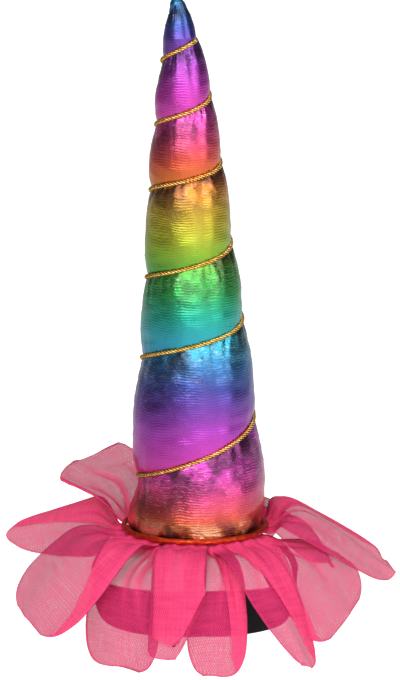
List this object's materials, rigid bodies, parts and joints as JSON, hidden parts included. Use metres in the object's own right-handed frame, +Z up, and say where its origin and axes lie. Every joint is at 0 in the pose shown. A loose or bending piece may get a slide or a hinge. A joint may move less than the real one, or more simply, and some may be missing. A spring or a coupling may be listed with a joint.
{
  "type": "unicorn horn headband",
  "caption": "Stuffed rainbow foil unicorn horn wound with a gold cord, on pink sheer petals and a black elastic headband.",
  "frame": {"origin": "middle of the underside of the elastic band, where the headband sits on the head", "axes": "+Z up along the horn, front towards -Y, the elastic runs left and right along X under the pad"},
  "size_m": [0.1972, 0.1591, 0.3287],
  "materials": {
    "lame": "rainbow foil",
    "hem": "foil",
    "cord": "metallic thread",
    "felt": "matt",
    "elastic": "matt",
    "chiffon": "sheer"
  },
  "bodies": {
    "root": {"horn": "lame", "hem_roll": "hem", "spiral_cord": "cord", "base_pad": "felt", "headband": "elastic", "petal_lower_1": "chiffon", "petal_lower_2": "chiffon", "petal_lower_3": "chiffon", "petal_lower_4": "chiffon", "petal_lower_5": "chiffon", "petal_lower_6": "chiffon", "petal_upper_1": "chiffon", "petal_upper_2": "chiffon", "petal_upper_3": "chiffon", "petal_upper_4": "chiffon", "petal_upper_5": "chiffon", "petal_upper_6": "chiffon"}
  },
  "joints": []
}
